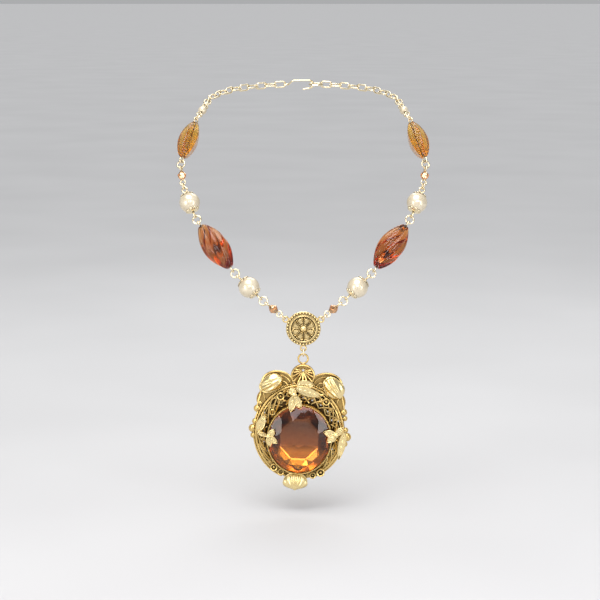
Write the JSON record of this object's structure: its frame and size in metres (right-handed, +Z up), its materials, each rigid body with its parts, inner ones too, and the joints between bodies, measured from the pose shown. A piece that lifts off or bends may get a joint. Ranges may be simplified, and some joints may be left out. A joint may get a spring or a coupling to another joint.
{
  "type": "pendant necklace",
  "caption": "Beaded pendant necklace worn round a neck: pearl and glass bead links, a round medallion, and a filigree pendant with an oval stone.",
  "frame": {"origin": "the middle of the wearer's neck, level with the base of its sides: the mount neck", "axes": "+Z up along the neck, -Y to the front where the medallion and the pendant hang, +X to the viewer's right as seen from the front"},
  "size_m": [0.1238, 0.1226, 0.19],
  "materials": {
    "pale_gold": "polished pale gold plate",
    "antique_gold": "antiqued gold plate with dark recesses",
    "pearl": "cream pearl lustre",
    "topaz_glass": "clear brown topaz glass",
    "amber_glass": "yellow-amber glass with fine inner ribs",
    "stone_glass": "faceted brown-orange glass"
  },
  "bodies": {
    "medallion": {"medallion": "antique_gold"},
    "pendant_jump_ring": {"pendant_jump_ring": "pale_gold"},
    "pendant": {"pendant_frame": "antique_gold", "stone_bezel": "antique_gold", "centre_stone": "stone_glass", "top_leaf_spray": "antique_gold", "left_leaf_spray": "antique_gold", "right_leaf_spray": "antique_gold", "left_shell": "antique_gold", "right_shell": "antique_gold", "bottom_shell": "antique_gold"},
    "left_small_ring_1": {"left_small_ring_1": "pale_gold"},
    "left_accent_link_1": {"left_accent_bead_1": "topaz_glass", "left_accent_bead_1_pin": "pale_gold"},
    "left_ring_1": {"left_ring_1": "pale_gold"},
    "left_pearl_link_1": {"left_pearl_1": "pearl", "left_pearl_1_pin": "pale_gold"},
    "left_ring_2": {"left_ring_2": "pale_gold"},
    "left_fluted_link": {"left_fluted_bead": "topaz_glass", "left_fluted_bead_pin": "pale_gold"},
    "left_ring_3": {"left_ring_3": "pale_gold"},
    "left_pearl_link_2": {"left_pearl_2": "pearl", "left_pearl_2_pin": "pale_gold"},
    "left_small_ring_2": {"left_small_ring_2": "pale_gold"},
    "left_accent_link_2": {"left_accent_bead_2": "topaz_glass", "left_accent_bead_2_pin": "pale_gold"},
    "left_ring_4": {"left_ring_4": "pale_gold"},
    "left_crackle_link": {"left_crackle_bead": "amber_glass", "left_crackle_bead_pin": "pale_gold"},
    "left_ring_5": {"left_ring_5": "pale_gold"},
    "left_small_pearl_link": {"left_small_pearl": "pearl", "left_small_pearl_pin": "pale_gold"},
    "left_ring_6": {"left_ring_6": "pale_gold"},
    "left_back_chain": {"left_back_chain": "pale_gold"},
    "clasp_hook": {"clasp_hook": "pale_gold"},
    "right_small_ring_1": {"right_small_ring_1": "pale_gold"},
    "right_accent_link_1": {"right_accent_bead_1": "topaz_glass", "right_accent_bead_1_pin": "pale_gold"},
    "right_ring_1": {"right_ring_1": "pale_gold"},
    "right_pearl_link_1": {"right_pearl_1": "pearl", "right_pearl_1_pin": "pale_gold"},
    "right_ring_2": {"right_ring_2": "pale_gold"},
    "right_fluted_link": {"right_fluted_bead": "topaz_glass", "right_fluted_bead_pin": "pale_gold"},
    "right_ring_3": {"right_ring_3": "pale_gold"},
    "right_pearl_link_2": {"right_pearl_2": "pearl", "right_pearl_2_pin": "pale_gold"},
    "right_small_ring_2": {"right_small_ring_2": "pale_gold"},
    "right_accent_link_2": {"right_accent_bead_2": "topaz_glass", "right_accent_bead_2_pin": "pale_gold"},
    "right_ring_4": {"right_ring_4": "pale_gold"},
    "right_crackle_link": {"right_crackle_bead": "amber_glass", "right_crackle_bead_pin": "pale_gold"},
    "right_ring_5": {"right_ring_5": "pale_gold"},
    "right_small_pearl_link": {"right_small_pearl": "pearl", "right_small_pearl_pin": "pale_gold"},
    "right_ring_6": {"right_ring_6": "pale_gold"},
    "right_back_chain": {"right_back_chain": "pale_gold"},
    "clasp_ring": {"clasp_ring": "pale_gold"}
  },
  "joints": [
    {"name": "pendant_ring_swing", "type": "hinge", "parent": "medallion", "child": "pendant_jump_ring", "pos_m": [0, -0.066, -0.1028], "axis": [1, 0, 0], "range_deg": [-75, 75]},
    {"name": "pendant_sway", "type": "hinge", "parent": "pendant_jump_ring", "child": "pendant", "pos_m": [0, -0.066, -0.10528], "axis": [0, 1, 0], "range_deg": [-40, 40]},
    {"name": "left_small_ring_1_lift", "type": "hinge", "parent": "medallion", "child": "left_small_ring_1", "pos_m": [-0.00941, -0.066, -0.08674], "axis": [0.6136, 0, 0.7896], "range_deg": [-35, 35]},
    {"name": "left_accent_link_1_sway", "type": "hinge", "parent": "left_small_ring_1", "child": "left_accent_link_1", "pos_m": [-0.01099, -0.06489, -0.08549], "axis": [-0.3164, -0.9125, 0.2594], "range_deg": [-35, 35]},
    {"name": "left_ring_1_sway", "type": "hinge", "parent": "left_accent_link_1", "child": "left_ring_1", "pos_m": [-0.01819, -0.06206, -0.08009], "axis": [0.223, 0.9519, -0.21], "range_deg": [-35, 0]},
    {"name": "left_pearl_link_1_lift", "type": "hinge", "parent": "left_ring_1", "child": "left_pearl_link_1", "pos_m": [-0.02048, -0.06113, -0.07833], "axis": [-0.6232, -0.0564, -0.78], "range_deg": [-35, 35]},
    {"name": "left_ring_2_sway", "type": "hinge", "parent": "left_pearl_link_1", "child": "left_ring_2", "pos_m": [-0.03191, -0.05594, -0.06789], "axis": [-0.1823, -0.9453, 0.2704], "range_deg": [-35, 35]},
    {"name": "left_fluted_link_lift", "type": "hinge", "parent": "left_ring_2", "child": "left_fluted_link", "pos_m": [-0.03386, -0.05497, -0.06579], "axis": [0.7414, 0.072, 0.6672], "range_deg": [-35, 35]},
    {"name": "left_ring_3_sway", "type": "hinge", "parent": "left_fluted_link", "child": "left_ring_3", "pos_m": [-0.05094, -0.04366, -0.04362], "axis": [0.1874, 0.9262, -0.327], "range_deg": [-35, 35]},
    {"name": "left_pearl_link_2_lift", "type": "hinge", "parent": "left_ring_3", "child": "left_pearl_link_2", "pos_m": [-0.05233, -0.04233, -0.04127], "axis": [-0.8522, 0.0034, -0.5232], "range_deg": [-35, 35]},
    {"name": "left_small_ring_2_lift", "type": "hinge", "parent": "left_pearl_link_2", "child": "left_small_ring_2", "pos_m": [-0.05817, -0.03454, -0.02817], "axis": [0.8928, -0.0715, 0.4448], "range_deg": [-35, 35]},
    {"name": "left_accent_link_2_sway", "type": "hinge", "parent": "left_small_ring_2", "child": "left_accent_link_2", "pos_m": [-0.05868, -0.03335, -0.0263], "axis": [-0.3227, -0.8417, 0.4328], "range_deg": [-35, 35]},
    {"name": "left_ring_4_sway", "type": "hinge", "parent": "left_accent_link_2", "child": "left_ring_4", "pos_m": [-0.05985, -0.02828, -0.01843], "axis": [0.3638, 0.808, -0.4634], "range_deg": [-35, 35]},
    {"name": "left_crackle_link_lift", "type": "hinge", "parent": "left_ring_4", "child": "left_crackle_link", "pos_m": [-0.05969, -0.02665, -0.01587], "axis": [-0.9142, 0.356, -0.1938], "range_deg": [-35, 35]},
    {"name": "left_ring_5_sway", "type": "hinge", "parent": "left_crackle_link", "child": "left_ring_5", "pos_m": [-0.05284, -0.0117, 0.00387], "axis": [-0.5191, -0.5878, 0.6205], "range_deg": [-35, 35]},
    {"name": "left_small_pearl_link_lift", "type": "hinge", "parent": "left_ring_5", "child": "left_small_pearl_link", "pos_m": [-0.05176, -0.00926, 0.00536], "axis": [0.6654, -0.598, 0.4468], "range_deg": [-35, 35]},
    {"name": "left_ring_6_sway", "type": "hinge", "parent": "left_small_pearl_link", "child": "left_ring_6", "pos_m": [-0.04885, -0.0002, 0.00962], "axis": [0.8058, 0.0202, -0.5918], "range_deg": [-35, 35]},
    {"name": "left_back_chain_lift", "type": "hinge", "parent": "left_ring_6", "child": "left_back_chain", "pos_m": [-0.04854, 0.00255, 0.01042], "axis": [-0.3863, 0.3229, -0.864], "range_deg": [-35, 35]},
    {"name": "clasp_hook_lift", "type": "hinge", "parent": "left_back_chain", "child": "clasp_hook", "pos_m": [-0.00972, 0.04586, 0.01792], "axis": [0.3304, -0.2625, 0.9066], "range_deg": [-5, 5]},
    {"name": "right_small_ring_1_lift", "type": "hinge", "parent": "medallion", "child": "right_small_ring_1", "pos_m": [0.00941, -0.066, -0.08674], "axis": [0.6136, 0, -0.7896], "range_deg": [-35, 35]},
    {"name": "right_accent_link_1_sway", "type": "hinge", "parent": "right_small_ring_1", "child": "right_accent_link_1", "pos_m": [0.01099, -0.06489, -0.08549], "axis": [0.3164, -0.9125, 0.2594], "range_deg": [-35, 35]},
    {"name": "right_ring_1_sway", "type": "hinge", "parent": "right_accent_link_1", "child": "right_ring_1", "pos_m": [0.01819, -0.06206, -0.08009], "axis": [-0.223, 0.9519, -0.21], "range_deg": [0, 35]},
    {"name": "right_pearl_link_1_lift", "type": "hinge", "parent": "right_ring_1", "child": "right_pearl_link_1", "pos_m": [0.02048, -0.06113, -0.07833], "axis": [-0.6232, 0.0564, 0.78], "range_deg": [-35, 35]},
    {"name": "right_ring_2_sway", "type": "hinge", "parent": "right_pearl_link_1", "child": "right_ring_2", "pos_m": [0.03191, -0.05594, -0.06789], "axis": [0.1823, -0.9453, 0.2704], "range_deg": [-35, 35]},
    {"name": "right_fluted_link_lift", "type": "hinge", "parent": "right_ring_2", "child": "right_fluted_link", "pos_m": [0.03386, -0.05497, -0.06579], "axis": [0.7414, -0.072, -0.6672], "range_deg": [-35, 35]},
    {"name": "right_ring_3_sway", "type": "hinge", "parent": "right_fluted_link", "child": "right_ring_3", "pos_m": [0.05094, -0.04366, -0.04362], "axis": [-0.1874, 0.9262, -0.327], "range_deg": [-35, 35]},
    {"name": "right_pearl_link_2_lift", "type": "hinge", "parent": "right_ring_3", "child": "right_pearl_link_2", "pos_m": [0.05233, -0.04233, -0.04127], "axis": [-0.8522, -0.0034, 0.5232], "range_deg": [-35, 35]},
    {"name": "right_small_ring_2_lift", "type": "hinge", "parent": "right_pearl_link_2", "child": "right_small_ring_2", "pos_m": [0.05817, -0.03454, -0.02817], "axis": [0.8928, 0.0715, -0.4448], "range_deg": [-35, 35]},
    {"name": "right_accent_link_2_sway", "type": "hinge", "parent": "right_small_ring_2", "child": "right_accent_link_2", "pos_m": [0.05868, -0.03335, -0.0263], "axis": [0.3227, -0.8417, 0.4328], "range_deg": [-35, 35]},
    {"name": "right_ring_4_sway", "type": "hinge", "parent": "right_accent_link_2", "child": "right_ring_4", "pos_m": [0.05985, -0.02828, -0.01843], "axis": [-0.3638, 0.808, -0.4634], "range_deg": [-35, 35]},
    {"name": "right_crackle_link_lift", "type": "hinge", "parent": "right_ring_4", "child": "right_crackle_link", "pos_m": [0.05969, -0.02665, -0.01587], "axis": [-0.9142, -0.356, 0.1938], "range_deg": [-35, 35]},
    {"name": "right_ring_5_sway", "type": "hinge", "parent": "right_crackle_link", "child": "right_ring_5", "pos_m": [0.05284, -0.0117, 0.00387], "axis": [0.5191, -0.5878, 0.6205], "range_deg": [-35, 35]},
    {"name": "right_small_pearl_link_lift", "type": "hinge", "parent": "right_ring_5", "child": "right_small_pearl_link", "pos_m": [0.05176, -0.00926, 0.00536], "axis": [0.6654, 0.598, -0.4468], "range_deg": [-35, 35]},
    {"name": "right_ring_6_sway", "type": "hinge", "parent": "right_small_pearl_link", "child": "right_ring_6", "pos_m": [0.04885, -0.0002, 0.00962], "axis": [-0.8058, 0.0202, -0.5918], "range_deg": [-35, 35]},
    {"name": "right_back_chain_lift", "type": "hinge", "parent": "right_ring_6", "child": "right_back_chain", "pos_m": [0.04854, 0.00255, 0.01042], "axis": [-0.3863, -0.3229, 0.864], "range_deg": [-35, 35]},
    {"name": "clasp_ring_lift", "type": "hinge", "parent": "right_back_chain", "child": "clasp_ring", "pos_m": [0.00972, 0.04586, 0.01792], "axis": [0.3304, 0.2625, -0.9066], "range_deg": [-12, 12]}
  ]
}
